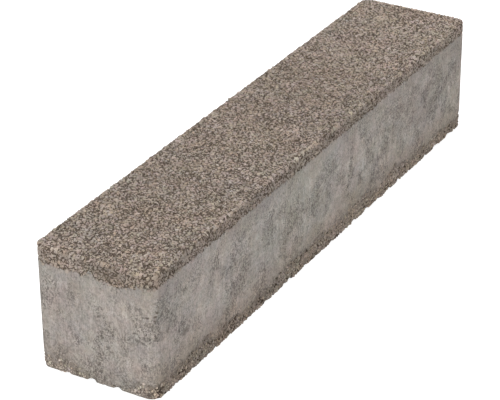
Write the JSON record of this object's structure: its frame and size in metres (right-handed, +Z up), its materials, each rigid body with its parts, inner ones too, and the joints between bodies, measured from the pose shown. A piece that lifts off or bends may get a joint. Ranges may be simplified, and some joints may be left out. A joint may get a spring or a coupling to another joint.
{
  "type": "concrete palisade",
  "caption": "Square concrete palisade block with rounded upright corners and a washed-aggregate long face, for garden edging and low retaining rows.",
  "frame": {"origin": "centre of the underside, the long face that the block rests on", "axes": "+X along the block's length, +Y across its width, +Z up from the underside to the washed face"},
  "size_m": [0.6, 0.118, 0.12],
  "materials": {
    "concrete": "smooth mould-cast sides and ends, coarse washed aggregate on the top face and its rim"
  },
  "bodies": {
    "root": {"palisade": "concrete"}
  },
  "joints": []
}
